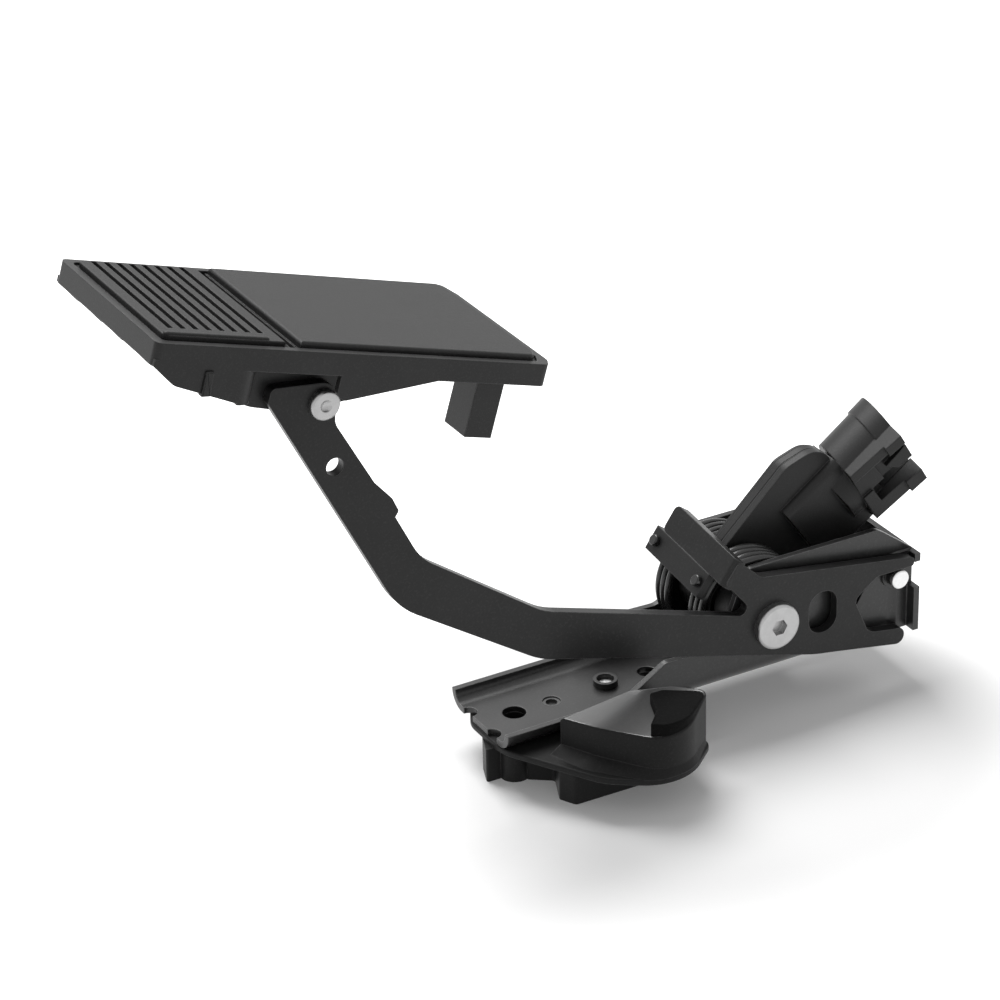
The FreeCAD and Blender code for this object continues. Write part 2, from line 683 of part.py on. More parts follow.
def pad_carrier():
    floor_low = pad_top - rim_height
    root = pad_top - 7.0
    tray = flat_solid(tread_outline(0.0), floor_low, pad_top)
    tray = tray.cut(flat_solid(tread_outline(rim_wall), pad_top - cover_recess - 3.0, pad_top + 1.0))
    tray = tray.cut(flat_solid(tread_outline(rim_wall), floor_low - 1.0, root))
    left = pad_left + 0.5
    nose = [(left, root, 0.0), (left, floor_low, 0.0), (-78.5, 10.6, 8.0)]
    near_left = side_solid(nose + [(-49.0, 4.4, 0.0), (-49.0, root, 0.0)], pad_near, pad_near + skirt_wall)
    near_right = side_solid([
        (opening_right, root, 0.0), (opening_right, 10.0, 4.0), (-1.0, 7.6, 3.0), (41.0, floor_low, 0.0),
        (41.0, root, 0.0),
    ], pad_near, pad_near + skirt_wall)
    inner = opening_left - skirt_wall
    turn = flat_solid([
        (-49.0, pad_near, 0.0), (opening_left, pad_near, 9.0), (opening_left, hinge_near + skirt_wall, 0.0),
        (inner, hinge_near + skirt_wall, 0.0), (inner, pad_near + skirt_wall, 5.0),
        (-49.0, pad_near + skirt_wall, 0.0),
    ], 3.7, root)
    hinge = side_solid(nose + [
        (-50.0, 4.0, 20.0), (-32.5, -4.8, 20.0), (0.0, -7.0, 7.0), (11.0, -0.8, 6.0), (60.0, 12.0, 2.0),
        (60.0, root, 0.0),
    ], 0.0, skirt_wall)
    plain = side_solid(nose + [
        (-38.0, 2.2, 12.0), (41.0, floor_low, 0.0), (41.0, root, 0.0),
    ], 0.0, skirt_wall)
    walls = [hinge, hinge.copy(), plain, plain.copy()]
    places = [hinge_near, hinge_far, (hinge_far + pad_far) / 2.0 - skirt_wall, pad_far - skirt_wall]
    for wall, y in zip(walls, places):
        wall.translate(V(0, y, 0))
    stop_post = block(70.9, 84.0, arm_outer, arm_outer + 17.5, -12.0, root)
    stop_post = stop_post.cut(block(73.4, 81.5, arm_outer + 2.5, arm_outer + 15.0, -13.0, pad_top - 9.0))
    carrier = tray.fuse(walls + [near_left, near_right, turn, stop_post])
    carrier = carrier.cut(rod(pad_pin + 3.0, hinge_near - 1.0, hinge_far + skirt_wall + 1.0))
    return on_treadle(carrier.removeSplitter())


def raised_field(left, right, inset, height, edge):
    """Raised part of the tread between two places along it, with softened upper edges."""
    field = flat_solid(tread_outline(inset), pad_top - 2.0, pad_top + height)
    field = field.common(block(left, right, pad_near, pad_far, pad_top - 2.0, pad_top + height))
    return field.makeFillet(edge, upper_edges(field, pad_top + height))


def pad_cover():
    seat = rim_wall + part_gap
    bottom = pad_top - cover_recess - 3.0
    cover = flat_solid(tread_outline(seat), bottom, pad_top - 1.0)
    half_trough = trough_width / 2.0
    trough_left = trough_x - half_trough
    trough_right = trough_x + half_trough
    ribbed = raised_field(pad_left, trough_left - 1.0, seat + 1.5, 1.6, 0.5)
    first = pad_left + 12.0
    for i in range(groove_count):
        x = first + i * groove_pitch
        groove = block(x - groove_width / 2.0, x + groove_width / 2.0, pad_near + 14.0, pad_far - 6.0,
                       pad_top - 0.6, pad_top + 3.0)
        ribbed = ribbed.cut(groove)
    smooth = raised_field(trough_right + 1.0, pad_right, seat + 1.0, 2.2, 1.4)
    bead_near = pad_near + seat + 1.8
    bead = flat_solid([
        (-84.0, bead_near, 1.4), (-84.0, bead_near + 3.0, 1.4), (-37.0, bead_near + 3.0, 1.4),
        (-37.0, bead_near, 1.4),
    ], pad_top, pad_top + 2.7)
    bead = bead.makeFillet(1.0, upper_edges(bead, pad_top + 2.7))
    trough = block(trough_left, trough_right, pad_near + 2.0, pad_far - 2.0, pad_top - 2.6, pad_top + 1.0)
    return on_treadle(cover.cut(trough).fuse([ribbed, smooth, bead]).removeSplitter())


def pad_rivet():
    far_end = hinge_far + skirt_wall
    pin = rod(pad_pin, arm_outer, far_end + part_gap + 1.0)
    head = rod(pad_pin_head, arm_outer - pad_pin_head_height, arm_outer)
    head = fillet_near(head, 1.4, [V(pad_pin_head / 2.0, arm_outer - pad_pin_head_height, 0)], 0.1)
    tail = rod(pad_pin + 3.0, far_end + part_gap, far_end + part_gap + 2.0)
    pin = pin.fuse([head, tail]).removeSplitter()
    dimple = Part.makeSphere(4.0, V(0, arm_outer - pad_pin_head_height - 2.9, 0))
    return on_treadle(pin.cut(dimple))


def pad_bush():
    far = hinge_far + skirt_wall
    bush = rod(pad_pin + 3.0, hinge_near, far)
    return on_treadle(bush.cut(rod(pad_pin + 2.0 * shaft_clearance, hinge_near - 1.0, far + 1.0)))


def pad_spring():
    """Light spring wound on the treadle's bush, with one leg under the tray and one along the arm."""
    spring = wound_wire(pad_pin / 2.0 + 2.7, 2.2, 5.25, 1.8, 12.0, 20.0)
    spring.rotate(V(0, 0, 0), V(0, 1, 0), 180)
    spring.translate(V(0, hinge_near + skirt_wall + 4.0, 0))
    return on_treadle(spring)


def save(name, shape):
    shape.exportStep("parts/" + name + ".step")


save("mounting_foot", mounting_foot())
save("mounting_bracket", mounting_bracket())
save("foot_rivet", hollow_rivet())
save("foot_eyelet", raised_eyelet())
save("pedal_arm", pedal_arm())
save("pivot_bolt", pivot_bolt())
save("pivot_nut", pivot_nut())
save("near_bush", ear_bush(-1))
save("far_bush", ear_bush(1))
save("pivot_sleeve", pivot_sleeve())
save("near_spring_drum", spring_drum(ear_near_inner + part_gap, -sensor_thickness / 2.0 - 2.0))
save("far_spring_drum", spring_drum(sensor_thickness / 2.0 + part_gap, ear_far_inner - part_gap))
save("near_spring", torsion_spring(ear_near_inner + 2.1, 0.0))
save("far_spring", torsion_spring(sensor_thickness / 2.0 + 2.1, 3.0))
save("spring_bar", spring_bar())
save("bar_screws", bar_screws())
save("stop_pin", stop_pin())
save("sensor_housing", sensor_housing())
save("sensor_lid", sensor_lid())
save("connector_terminals", connector_terminals())
save("pad_carrier", pad_carrier())
save("pad_cover", pad_cover())
save("pad_rivet", pad_rivet())
save("pad_bush", pad_bush())
save("pad_spring", pad_spring())
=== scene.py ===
# %% [markdown]
# # An accelerator pedal, dressed for its picture
#
# The pedal's solids come from CAD and stay as they are: treadle, cranked arm, channel bracket,
# springs, sensor, foot. This lesson gives each of them the surface of the real piece, adds two
# small mouldings, and then sets up the camera, the floor and the light. Pictures could be wrapped
# round the solids instead, but a pattern that nodes work out stays sharp from any distance and
# needs no unwrapped map. Lengths are in metres, in the same frame as the solids.

import json
import math

import bpy
import numpy as np
from mathutils import Matrix, Vector


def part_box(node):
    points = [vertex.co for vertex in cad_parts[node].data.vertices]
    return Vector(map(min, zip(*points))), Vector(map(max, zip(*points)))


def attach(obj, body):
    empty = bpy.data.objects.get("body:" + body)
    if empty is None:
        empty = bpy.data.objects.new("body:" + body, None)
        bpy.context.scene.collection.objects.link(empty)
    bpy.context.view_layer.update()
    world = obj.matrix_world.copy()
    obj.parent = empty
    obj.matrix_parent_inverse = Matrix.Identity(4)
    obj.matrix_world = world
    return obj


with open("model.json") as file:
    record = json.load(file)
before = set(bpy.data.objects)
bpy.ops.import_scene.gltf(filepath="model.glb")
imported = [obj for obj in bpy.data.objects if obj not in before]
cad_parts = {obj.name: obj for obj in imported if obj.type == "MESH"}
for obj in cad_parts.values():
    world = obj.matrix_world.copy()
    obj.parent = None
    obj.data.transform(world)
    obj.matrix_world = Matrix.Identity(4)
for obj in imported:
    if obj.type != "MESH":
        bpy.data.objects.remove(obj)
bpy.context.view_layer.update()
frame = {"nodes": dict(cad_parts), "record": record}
nodes = frame["nodes"]
MM = 0.001

# %% [markdown]
# ## Sums on sockets
#
# A finish is mostly arithmetic, such as wear times grime, and in Blender each step of it is a Math
# node with its links. Placing those by hand is slow and hard to read. So a small class wraps one
# output socket and overloads the signs: `1.0 - edge * 0.5` adds the nodes that it says. Colours and
# vectors don't go through it, because a Math node turns a colour grey.


# %% Value
class Value:
    """One output socket; a sum, difference or product on it adds a Math node."""

    def __init__(self, graph, socket):
        self.graph = graph
        self.socket = socket

    def math(self, operation, *others):
        """One Math node of this value and the others."""
        return self.graph.node("ShaderNodeMath", {"operation": operation}, [self, *others])["Value"]

    def __add__(self, other):
        return self.math("ADD", other)

    def __sub__(self, other):
        return self.math("SUBTRACT", other)

    def __mul__(self, other):
        return self.math("MULTIPLY", other)

    def __rsub__(self, other):
        return (self * -1.0) + other

    __radd__ = __add__
    __rmul__ = __mul__

    def between(self, low, high):
        """0 below low, 1 above high, smooth in between."""
        settings = {"interpolation_type": "SMOOTHSTEP"}
        limits = {"Value": self, "From Min": low, "From Max": high}
        return self.graph.node("ShaderNodeMapRange", settings, limits)["Result"]


# %% [markdown]
# ## One node tree
#
# Any other node takes three things: its type, its settings and its inputs. One method that asks for
# just those builds them all, and links an input when it is a `Value` or writes it when it is a
# number. The settings go first, because some of them change which inputs a node has. Every pattern
# starts from the Object coordinates, which are the frame's own metres, so a pattern keeps its size
# and stays on its piece when the pedal moves.


# %% Graph
class Made:
    """The outputs of one node, by name."""

    def __init__(self, graph, node):
        self.graph = graph
        self.node = node

    def __getitem__(self, name):
        return Value(self.graph, self.node.outputs[name])


class Graph:
    """The nodes of a new material, or of an owner (a material or a world) that is there already."""

    def __init__(self, name, owner=None):
        self.owner = bpy.data.materials.new(name) if owner is None else owner
        self.owner.use_nodes = True
        self.tree = self.owner.node_tree
        self.shader = self.tree.nodes.get("Principled BSDF")

    def node(self, kind, settings=None, inputs=None):
        """A node of that type; inputs is a list in socket order or a dict by socket name."""
        made = self.tree.nodes.new(kind)
        for key, value in (settings or {}).items():
            setattr(made, key, value)
        pairs = enumerate(inputs) if isinstance(inputs, list) else (inputs or {}).items()
        for key, value in pairs:
            self.feed(made.inputs[key], value)
        return Made(self, made)

    def feed(self, socket, value):
        """Links a Value to the socket, or writes a plain number, colour or vector on it."""
        if isinstance(value, Value):
            self.tree.links.new(value.socket, socket)
        else:
            socket.default_value = value

    def finish(self, **inputs):
        """Feeds the main shader, with _ for the spaces of its input names; returns the material."""
        for key, value in inputs.items():
            self.feed(self.shader.inputs[key.replace("_", " ")], value)
        return self.owner

    def place(self, scale=(1.0, 1.0, 1.0)):
        """The point's own place on the object, in metres, stretched by the scale."""
        coords = self.node("ShaderNodeTexCoord")["Object"]
        return self.node("ShaderNodeMapping", {}, {"Vector": coords, "Scale": scale})["Vector"]

    def parts(self, vector):
        """The X, Y and Z of a vector."""
        return self.node("ShaderNodeSeparateXYZ", {}, [vector])

    def vector(self, operation, *vectors):
        """One Vector Math node of the vectors."""
        return self.node("ShaderNodeVectorMath", {"operation": operation}, list(vectors))


print("shader helpers:", [cls.__name__ for cls in (Value, Made, Graph)])

# %% [markdown]
# ## Patterns and worn edges
#
# On the real pedal every sharp edge has lost a little paint or has a small moulded radius, and
# catches the light as a fine pale line. The finishes below paint that line into the colour, as worn
# paint and painted highlight together. The solids could be bevelled, but they are fixed. The Bevel
# node gives the normal that a rounded edge would have, and its lean against the true normal says
# how near an edge is. The same normal also softens each bump.


# %% Patterns
def noise(g, scale, detail, roughness, stretch=(1.0, 1.0, 1.0)):
    """Cloudy noise from 0 to 1; the scale is how many clouds go into a metre."""
    inputs = {"Vector": g.place(stretch), "Scale": scale, "Detail": detail, "Roughness": roughness}
    return g.node("ShaderNodeTexNoise", {}, inputs)["Fac"]


def rounded(g, radius):
    """Surface normal with every edge rounded by the radius."""
    return g.node("ShaderNodeBevel", {"samples": 6}, {"Radius": radius})["Normal"]


def edges(g, radius, spread):
    """1 on sharp edges, 0 on flats: 1 - (rounded normal . true normal), from 0 to the spread."""
    true = g.node("ShaderNodeNewGeometry")["Normal"]
    return (1.0 - g.vector("DOT_PRODUCT", rounded(g, radius), true)["Value"]).between(0.0, spread)


def mixed(g, share, first, second):
    """The first colour where the share is 0, the second where it is 1."""
    made = g.node("ShaderNodeMix", {"data_type": "RGBA"}, {0: share, 6: first, 7: second})
    return Value(g, made.node.outputs[2])


def bump(g, height, strength, distance, normal):
    """The normal, leant by a height pattern; the distance is how high a full step of it stands."""
    inputs = {"Height": height, "Strength": strength, "Distance": distance, "Normal": normal}
    return g.node("ShaderNodeBump", {}, inputs)["Normal"]


def grey(level):
    """A plain grey, as a colour."""
    return (level, level, level, 1.0)


# %% [markdown]
# ## Black paint and moulded plastic
#
# Nearly every piece is black: baked paint on the steel, grained plastic on foot, sensor and
# treadle. Only their gloss, grain and edges tell them apart. One flat colour would look cut from
# paper, and painted wear would need a map for each piece. So one function lays a blotchy dark
# colour, a fine grain and paler edges, which are worn paint and painted highlight in one, and each
# finish has its own numbers.
#
# The sensor's tongue also shows two parting lines of its mould. A real groove would need a change
# of the solid, so a dark line is drawn where y is near a place, its grey painted shade of the
# groove, and a bump makes it look sunk.

# %% Dark surface
BLOTCHES_A_METRE = 38.0
EDGE_PATCHES_A_METRE = 210.0
EDGE_LEAN = 0.22
SEAM_CORE, SEAM_REACH, SEAM_DEPTH, SEAM_SHADE_LEVEL = 0.0001, 0.0006, 0.0005, 0.003
TONGUE_END = (0.122, 0.124)


def parting_line(g, place, colour, normal):
    """The colour and normal with a line sunk at a y place, up to the tongue's end along x; the
    line's dark grey is painted shade.
    """
    spot = g.parts(g.place())
    line = 1.0 - (spot["Y"] - place).math("ABSOLUTE").between(SEAM_CORE, SEAM_REACH)
    sunk = line * (1.0 - spot["X"].between(*TONGUE_END))
    normal = bump(g, sunk, strength=1.0, distance=-SEAM_DEPTH, normal=normal)
    # The sunk line's dark grey is painted shade.
    return mixed(g, sunk, colour, grey(SEAM_SHADE_LEVEL)), normal


def dark_surface(name, level, edge_level, rough, grain_scale, grain_height,
                 edge_radius=0.0008, shine=0.35, seams=()):
    """Black paint or plastic.

    Worn and highlit edge = edge * (0.4 to 1, by patches): worn paint and painted highlight in one.
    Colour = 0.8 to 1.2 of the level by blotches, specks of 2.4 of it, the edge level on pale edges.
    Roughness = rough, 0.06 less to 0.06 more by blotches, and 0.06 more on pale edges.
    """
    g = Graph(name)
    blotches = noise(g, BLOTCHES_A_METRE, detail=4.0, roughness=0.6)
    grain = noise(g, grain_scale, detail=2.0, roughness=0.6)
    patches = noise(g, EDGE_PATCHES_A_METRE, detail=3.0, roughness=0.6).between(0.30, 0.62)
    # Pale edges: partly worn paint, partly painted highlight.
    worn_and_highlit = edges(g, edge_radius, EDGE_LEAN) * (patches * 0.6 + 0.4)
    flat = mixed(g, blotches.between(0.3, 0.7), grey(level * 0.8), grey(level * 1.2))
    specked = mixed(g, grain.between(0.5, 0.75) * 0.5, flat, grey(level * 2.4))
    colour = mixed(g, worn_and_highlit, specked, grey(edge_level))
    edge_normal = rounded(g, edge_radius)
    normal = bump(g, grain, strength=1.0, distance=grain_height, normal=edge_normal)
    for place in seams:
        colour, normal = parting_line(g, place, colour, normal)
    roughness = blotches * 0.12 + (rough - 0.06) + worn_and_highlit * 0.06
    return g.finish(Base_Color=colour, Roughness=roughness, Specular_IOR_Level=shine, Normal=normal)


# %% [markdown]
# ## Steel, springs, plastic and tread
#
# The arm's paint is satin, the bracket's thicker and glossier, and it is paler on every folded
# edge, from wear and painted highlight. The springs are drawn wire, smooth and shiny. Foot, sensor
# and tray are moulded with a fine grain, and the tread is the coarsest of all, for a shoe's grip.
# They could share one black, but these few numbers, lightness, roughness, grain and shine, are what
# tells them apart.

# %% Steel and springs
materials = {
    "black_painted_steel": dark_surface(
        "black_painted_steel", level=0.015, edge_level=0.14, rough=0.36,
        grain_scale=900.0, grain_height=0.00002, shine=0.24),
    "spring_steel": dark_surface(
        "spring_steel", level=0.016, edge_level=0.08, rough=0.24,
        grain_scale=1500.0, grain_height=0.00001, edge_radius=0.0003, shine=0.5),
}
own = {  # finishes for one node alone, by the node's name
    # The bracket's pale edge level is worn paint and painted highlight on its folds.
    "mounting_bracket": dark_surface(
        "bracket_paint", level=0.017, edge_level=0.20, rough=0.33,
        grain_scale=900.0, grain_height=0.00001, shine=0.5),
    "foot_rivet": dark_surface(
        "rivet_paint", level=0.05, edge_level=0.12, rough=0.35,
        grain_scale=900.0, grain_height=0.00002, edge_radius=0.0004, shine=0.5),
}
print("painted and drawn:", len(materials) + len(own))

# %% Plastic and tread
materials["black_foot_plastic"] = dark_surface(
    "black_foot_plastic", level=0.010, edge_level=0.07, rough=0.50,
    grain_scale=1100.0, grain_height=0.00001, shine=0.14)
# The crescent's grey, darker than the foot's plastic, is painted shade.
materials["crescent_painted_shade"] = dark_surface(
    "crescent_painted_shade", level=0.007, edge_level=0.04, rough=0.50,
    grain_scale=1100.0, grain_height=0.00001, shine=0.02)
materials["black_housing_plastic"] = dark_surface(
    "black_housing_plastic", level=0.012, edge_level=0.06, rough=0.44,
    grain_scale=1500.0, grain_height=0.00003, shine=0.28)
own["sensor_housing"] = dark_surface(
    "tongue_plastic", level=0.012, edge_level=0.06, rough=0.44,
    grain_scale=1500.0, grain_height=0.00003, shine=0.28, seams=(-0.0012, 0.0034))
materials["bush_plastic"] = dark_surface(
    "bush_plastic", level=0.025, edge_level=0.07, rough=0.45,
    grain_scale=1500.0, grain_height=0.00002, edge_radius=0.0003)
materials["pad_plastic"] = dark_surface(
    "pad_plastic", level=0.017, edge_level=0.10, rough=0.40,
    grain_scale=1500.0, grain_height=0.00003, shine=0.28)
# The tread's pale ridge edges are painted highlight as much as wear.
materials["pad_rubber"] = dark_surface(
    "pad_rubber", level=0.014, edge_level=0.17, rough=0.46,
    grain_scale=1300.0, grain_height=0.00015, edge_radius=0.0005, shine=0.24)
print("dark finishes:", len(materials) + len(own))

# %% [markdown]
# ## The dish in the foot
#
# The dish in the foot's top is smoother than the walls round it and shows as a paler, glossy patch,
# as it faces up and catches the light. It could be a piece of its own, but it is the same moulding.
# So its share comes from two facts that hold only there: it faces upwards, and it lies above the
# flange. The paler grey is painted sheen; a clear coat gives the gloss, so the grain below it
# stays.

# %% Rubbed dish
DISH_FACES_UP = (0.85, 0.97)
DISH_LIES_ABOVE = (0.036, 0.037)


def dish_painted_sheen(material, level, coat_roughness):
    """Paints a paler grey, painted sheen, and lays a coat on what faces up and lies high: the share
    is the product of the two.
    """
    g = Graph(material.name, material)
    upward = g.parts(g.node("ShaderNodeNewGeometry")["Normal"])["Z"].between(*DISH_FACES_UP)
    share = upward * g.parts(g.place())["Z"].between(*DISH_LIES_ABOVE)
    plain = Value(g, g.shader.inputs["Base Color"].links[0].from_socket)
    # The paler grey where the dish faces up is painted sheen.
    colour = mixed(g, share, plain, grey(level))
    g.finish(Base_Color=colour, Coat_Weight=share, Coat_Roughness=coat_roughness)


dish_painted_sheen(materials["black_foot_plastic"], level=0.085, coat_roughness=0.2)
print("dish: in black_foot_plastic")

# %% [markdown]
# ## Zinc
#
# The pivot bolt, its nut, the treadle's rivet and the plug's blades are plated, so they are the
# only bright things. An even metal would mirror the white room like a blank disc. Scratches could
# be cut into a mesh, at a cost of many faces. Noise that is drawn out along one axis gives the same
# long, fine tool marks for nothing, and slow clouds dull the plating here and there.


# %% Zinc finishes
CLOUDS_A_METRE = 260.0
METAL_EDGE = 0.0004
MARKS_A_METRE, MARKS_DRAWN_OUT = 2600.0, (1.0, 0.12, 1.0)


def bright_zinc(name, level, rough):
    """Plated steel: colour 0.95 to 1.03 of the level by clouds, roughness by clouds and marks."""
    g = Graph(name)
    clouds = noise(g, CLOUDS_A_METRE, detail=4.0, roughness=0.6)
    marks = noise(g, MARKS_A_METRE, detail=2.0, roughness=0.5, stretch=MARKS_DRAWN_OUT)
    colour = mixed(g, clouds.between(0.35, 0.65), grey(level * 0.95), grey(level * 1.03))
    roughness = clouds * 0.08 + (rough - 0.04) + marks * 0.05
    normal = bump(g, marks, strength=0.5, distance=0.00002, normal=rounded(g, METAL_EDGE))
    return g.finish(Base_Color=colour, Metallic=1.0, Roughness=roughness, Normal=normal)


materials["zinc_steel"] = bright_zinc("zinc_steel", level=0.41, rough=0.34)
materials["terminal_metal"] = bright_zinc("terminal_metal", level=0.60, rough=0.30)
print("zinc finishes: zinc_steel, terminal_metal")

# %% [markdown]
# ## Bare silver inside black paint
#
# Two pieces are black outside and silver inside or at one end: the raised eyelet with its bright
# insert, and the pin that the arm rests on, painted with the bracket but bare at its near end. Each
# is one solid, so a second material has no edge to stop at. A share worked out from the place, the
# distance from an axis or a limit along y, draws it.

# %% Silver and black
SCRATCHES_A_METRE = 900.0
BLACK, SILVER_DULL, SILVER_BRIGHT = grey(0.018), grey(0.62), grey(0.82)
STEP = 0.0001  # half the width over which silver turns to black
INSERT_RADIUS = 0.0031
BARE_LENGTH = 0.0022


def silver_where(g, silver):
    """Bare silver metal where the share is 1, black paint where it is 0."""
    scratches = noise(g, SCRATCHES_A_METRE, detail=3.0, roughness=0.6)
    colour = mixed(g, silver, BLACK, mixed(g, scratches, SILVER_DULL, SILVER_BRIGHT))
    roughness = scratches * 0.12 + 0.28
    normal = bump(g, scratches, strength=0.4, distance=0.00002, normal=rounded(g, METAL_EDGE))
    return g.finish(Base_Color=colour, Metallic=silver, Roughness=roughness, Normal=normal)


def eyelet_paint(name, middle, radius):
    """Silver where the distance from the upright axis through the middle is below the radius."""
    g = Graph(name)
    offset = g.vector("SUBTRACT", g.place(), middle)["Vector"]
    level_offset = g.vector("MULTIPLY", offset, (1.0, 1.0, 0.0))["Vector"]
    distance = g.vector("LENGTH", level_offset)["Value"]
    return silver_where(g, 1.0 - distance.between(radius - STEP, radius + STEP))


def pin_paint(name, end):
    """Silver where y is below the end value: the pin's near end."""
    g = Graph(name)
    along = g.parts(g.place())["Y"]
    return silver_where(g, 1.0 - along.between(end - STEP, end + STEP))


eyelet_low, eyelet_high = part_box("foot_eyelet")
pin_low, pin_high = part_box("stop_pin")
eyelet_middle = tuple((eyelet_low + eyelet_high) / 2)
own["foot_eyelet"] = eyelet_paint("eyelet_paint", eyelet_middle, INSERT_RADIUS)
own["stop_pin"] = pin_paint("pin_paint", pin_low[1] + BARE_LENGTH)
print("silver and black: foot_eyelet, stop_pin", round(pin_high[1] - pin_low[1], 4), "m long")

# %% [markdown]
# ## Dress the solids
#
# The record of the solids names a material slot for each node. Every node gets the finish of its
# slot, apart from the few above that have one of their own. Only the material changes: the solids'
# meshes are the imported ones.

# %% Dress the solids
slots = {row["node"]: row["material_slot"] for row in frame["record"]["subparts"]}
for name, solid in nodes.items():
    solid.data.materials.clear()
    solid.data.materials.append(own.get(name, materials[slots[name]]))
print("dressed:", len(nodes), "solids with", len(materials) + len(own), "materials")

# %% [markdown]
# ## Rounded outlines
#
# The two mouldings below are low blocks with a soft outline. Such an outline could be drawn point
# by point, but then a change of one radius means new points all round. Here it is a few corners
# with a radius each, and a short curve is worked out at every corner at once.


# %% Outline
def smooth_outline(corners, steps=7):
    """Points round a closed outline with soft corners.

    A corner c with radius r becomes (1 - s)^2 a + 2 s (1 - s) c + s^2 b, for s from 0 to 1, where
    a and b lie on the two sides, r * tan(turn / 2) from the corner.
    """
    corners = np.array(corners)
    c, r = corners[:, None, :2], corners[:, None, 2:]
    before, after = np.roll(c, 1, axis=0) - c, np.roll(c, -1, axis=0) - c
    before, after = (v / np.linalg.norm(v, axis=2, keepdims=True) for v in (before, after))
    turn = math.pi - np.arccos(np.sum(before * after, axis=2, keepdims=True))
    reach = r * np.tan(turn / 2.0)
    a, b = c + before * reach, c + after * reach
    s = np.linspace(0.0, 1.0, steps)[None, :, None]
    return ((1.0 - s) ** 2 * a + 2.0 * s * (1.0 - s) * c + s ** 2 * b).reshape(-1, 2)


square = smooth_outline([(0, 0, 1), (10, 0, 1), (10, 10, 1), (0, 10, 1)])
print("a square with soft corners has", len(square), "points")

# %% [markdown]
# ## Blocks with a rounded brow
#
# A moulding has no knife edge where its wall meets its top. A Bevel modifier could round it, but it
# would round the foot of the wall too. So the outline is carried up the wall and round a quarter
# circle, ring by ring, and a cap closes each end: a grid of rings and steps, made as one array.


# %% Rings and faces
def block_points(outline, low, high, brow, brow_rings=6):
    """Rings of points up the wall and round the brow.

    Ring at t, from 0 to 90 degrees: inset = brow * (1 - cos t), height = high - brow * (1 - sin t).
    A first ring, with no inset, lies at the low height. The inset goes against the outline's own
    outward normal, which is the line between its neighbours turned a quarter.
    """
    along = np.roll(outline, -1, axis=0) - np.roll(outline, 1, axis=0)
    outward = np.stack([along[:, 1], -along[:, 0]], axis=1)
    outward /= np.linalg.norm(along, axis=1, keepdims=True)
    t = np.linspace(0.0, math.pi / 2.0, brow_rings)
    inset = np.concatenate([[0.0], brow * (1.0 - np.cos(t))])
    height = np.concatenate([[low], high - brow * (1.0 - np.sin(t))])
    flat = outline[None] - outward[None] * inset[:, None, None]
    heights = np.broadcast_to(height[:, None, None], flat.shape[:2] + (1,))
    return np.concatenate([flat, heights], axis=2)


def block_faces(rings, count):
    """Four corners for each step between two rings, and one cap of all points at each end."""
    ring, step = np.meshgrid(np.arange(rings - 1), np.arange(count), indexing="ij")
    here, after = ring * count + step, ring * count + (step + 1) % count
    walls = np.stack([here, after, after + count, here + count], axis=2).reshape(-1, 4).tolist()
    return walls + [list(range(count))[::-1], list(range((rings - 1) * count, rings * count))]


rings_on_square = block_points(square, 0.0, 5.0, 1.0)
print("a block on that square has", len(block_faces(*rings_on_square.shape[:2])), "faces")


# %% Raised block
def raised_block(name, corners, low, high, brow, axes, body, paint):
    """A closed block from low to high over an outline, in millimetres, riding on a body.

    The rows of axes say which way the outline's first and second number and the height point.
    """
    points = block_points(smooth_outline(corners), low, high, brow)
    mesh = bpy.data.meshes.new(name)
    placed = points.reshape(-1, 3) @ np.array(axes, dtype=float) * MM
    mesh.from_pydata(placed.tolist(), [], block_faces(*points.shape[:2]))
    made = bpy.data.objects.new(name, mesh)
    bpy.context.scene.collection.objects.link(made)
    mesh.materials.append(materials[paint])
    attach(made, body)
    print(name, "faces:", len(mesh.polygons), "height in mm:", round(high - low, 1))


# %% [markdown]
# ## The crescent and the rib
#
# Beside the dish the foot's moulding stands a few millimetres higher, in a dull crescent with a
# wavy inner edge; its grey, darker than the foot's, is painted shade of the arm above it. On the
# treadle's near skirt a short rib runs up and down. Both are shallow, so they are set on the solids
# as closed blocks that reach a little into them, which leaves no gap, and they ride on the same
# bodies.

# %% Crescent
crescent = [  # x, y and corner radius in millimetres
    (-7.2, -72.8, 0.6), (-1.5, -77.4, 8.0), (10.0, -77.4, 18.0), (29.1, -61.5, 4.4),
    (12.5, -50.2, 3.0), (6.2, -50.0, 1.5), (1.2, -64.0, 3.0),
]
UPRIGHT = [(1, 0, 0), (0, 1, 0), (0, 0, 1)]
raised_block("foot_crescent", crescent, low=38.0, high=46.0, brow=0.8, axes=UPRIGHT,
             body="base", paint="crescent_painted_shade")

# %% Rib
rib = [  # x, z and corner radius in millimetres
    (-198.6, 244.0, 0.5), (-194.6, 243.2, 0.5), (-191.9, 253.5, 0.5), (-195.4, 254.3, 0.5),
]
TOWARDS_NEAR_SIDE = [(1, 0, 0), (0, 0, 1), (0, -1, 0)]
raised_block("skirt_rib", rib, low=47.0, high=50.2, brow=0.6, axes=TOWARDS_NEAR_SIDE,
             body="treadle", paint="pad_plastic")

# %% [markdown]
# ## Camera
#
# The picture was taken from high on the near left, from far back and with a long lens, so that
# edges stay nearly parallel, and the camera was turned a little about its own axis. It could be
# aimed at a target by eye, but then the roll is hard to hit. Here its three directions come from
# the three angles, and stand as the columns of its matrix.

# %% Camera directions
AZIMUTH, ELEVATION, ROLL = (math.radians(v) for v in (-28.52, 27.58, 1.51))

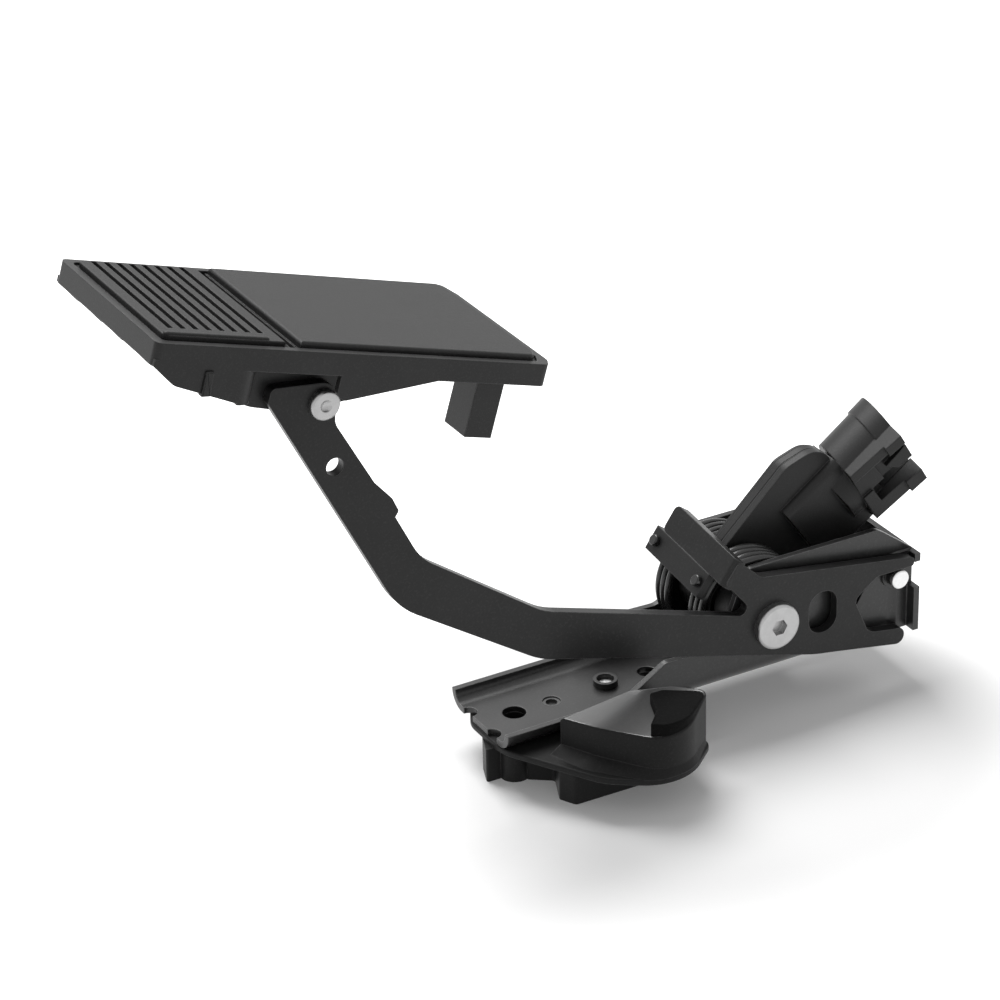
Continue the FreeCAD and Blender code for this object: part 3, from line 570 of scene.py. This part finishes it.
flat = math.cos(ELEVATION)
back = Vector((math.sin(AZIMUTH) * flat, -math.cos(AZIMUTH) * flat, math.sin(ELEVATION)))
level_right = Vector((math.cos(AZIMUTH), math.sin(AZIMUTH), 0.0))
level_up = back.cross(level_right)
right = level_right * math.cos(ROLL) - level_up * math.sin(ROLL)
up = level_right * math.sin(ROLL) + level_up * math.cos(ROLL)
print("camera looks along", [round(-v, 3) for v in back])

# %% Camera
CAMERA_PLACE = Vector((-698.1, -1212.3, 853.2)) * MM
LENS_IN_SENSOR_WIDTHS = 3.5678

camera_data = bpy.data.cameras.new("camera")
camera_data.sensor_width = 36.0
camera_data.lens = LENS_IN_SENSOR_WIDTHS * camera_data.sensor_width
camera_data.clip_end = 20.0
camera = bpy.data.objects.new("camera", camera_data)
bpy.context.scene.collection.objects.link(camera)
camera_turn = Matrix((right, up, back)).transposed()
camera.matrix_world = Matrix.Translation(CAMERA_PLACE) @ camera_turn.to_4x4()
bpy.context.scene.camera = camera
print("camera:", round(camera_data.lens, 1), "mm lens,", round(CAMERA_PLACE.length, 2), "m away")

# %% [markdown]
# ## Floor
#
# In the picture the pedal stands on white paper that runs into a white background, with one soft
# shadow round the foot. Brighter lamps would also burn out the pedal. Instead the floor glows for
# the camera alone, through the Light Path node: weakly round the foot, where the shadow has to
# stay, and fully further out. Mirror rays see an even glow.

# %% Floor
FLOOR_REACH = 6.0

floor_corners = np.array([(-1, -1, 0), (1, -1, 0), (1, 1, 0), (-1, 1, 0)]) * FLOOR_REACH
floor_mesh = bpy.data.meshes.new("floor")
floor_mesh.from_pydata(floor_corners.tolist(), [], [(0, 1, 2, 3)])
floor = bpy.data.objects.new("floor", floor_mesh)
bpy.context.scene.collection.objects.link(floor)
print("floor:", 2 * FLOOR_REACH, "m wide")

# %% Floor paper
PAPER_CLOUDS_A_METRE = 3.0
PAPER_DULL, PAPER_BRIGHT = grey(0.78), grey(0.80)
SHADOW_MIDDLE = (0.055, -0.040, 0.0)
SHADOW_FADES = (0.10, 0.23)
GLOW_IN_SHADOW, GLOW_OUTSIDE_ADDS, GLOW_IN_MIRRORS = 0.09, 0.75, 0.5


def seen(g, mirrored=1.0):
    """1 for rays that end in the picture, straight or through glass; a share for mirrored ones."""
    path = g.node("ShaderNodeLightPath")
    straight = path["Is Camera Ray"].math("MAXIMUM", path["Is Transmission Ray"])
    return straight.math("MAXIMUM", path["Is Glossy Ray"] * mirrored)


g = Graph("floor_paper")
clouds = noise(g, PAPER_CLOUDS_A_METRE, detail=2.0, roughness=0.5)
g.finish(Base_Color=mixed(g, clouds, PAPER_DULL, PAPER_BRIGHT), Roughness=0.9)
away = g.vector("DISTANCE", g.place(), SHADOW_MIDDLE)["Value"]
mirrored_ray = g.node("ShaderNodeLightPath")["Is Glossy Ray"]
direct = seen(g, 0.0) * (away.between(*SHADOW_FADES) * GLOW_OUTSIDE_ADDS + GLOW_IN_SHADOW)
strength = direct + mirrored_ray * GLOW_IN_MIRRORS
glow = g.node("ShaderNodeEmission", {}, {"Color": grey(1.0), "Strength": strength})["Emission"]
lit_paper = Value(g, g.shader.outputs[0])
paper_and_glow = g.node("ShaderNodeAddShader", {}, [lit_paper, glow])["Shader"]
g.feed(g.tree.nodes["Material Output"].inputs["Surface"], paper_and_glow)
floor_mesh.materials.append(g.owner)
print("floor's shadow is kept within", SHADOW_FADES[1], "m of its middle")

# %% [markdown]
# ## World and lamp
#
# The light is that of a studio tent: white from all sides, and one large soft box high behind the
# pedal, which draws the shadow forwards and puts a sheen on the upper faces. A ring of lamps would
# do it too, but would show as spots in the bolt's head. The world is white to the camera and to
# mirrors, and dimmer as a light, so that black stays black.

# %% World
AMBIENT = 0.4

world = bpy.data.worlds.new("studio")
bpy.context.scene.world = world
w = Graph("studio", world)
background = w.tree.nodes["Background"]
w.feed(background.inputs["Color"], grey(1.0))
w.feed(background.inputs["Strength"], seen(w) * (1.0 - AMBIENT) + AMBIENT)
print("world: 1.0 where it is seen,", AMBIENT, "as a light")

# %% Lamp
LAMP_PLACE, LAMP_TARGET = Vector((0.0, 0.9, 1.7)), Vector((0.0, 0.0, 0.1))
LAMP_SIDE, LAMP_POWER = 1.2, 38.0

lamp_data = bpy.data.lights.new("key", "AREA")
lamp_data.shape = "RECTANGLE"
lamp_data.size, lamp_data.size_y, lamp_data.energy = LAMP_SIDE, LAMP_SIDE, LAMP_POWER
lamp = bpy.data.objects.new("key", lamp_data)
lamp.location = LAMP_PLACE
lamp.rotation_euler = (LAMP_PLACE - LAMP_TARGET).to_track_quat("Z", "Y").to_euler()
bpy.context.scene.collection.objects.link(lamp)
bpy.context.scene.view_settings.view_transform = "Standard"
print("lamp:", LAMP_POWER, "W,", round((LAMP_PLACE - LAMP_TARGET).length, 2), "m from the pedal")
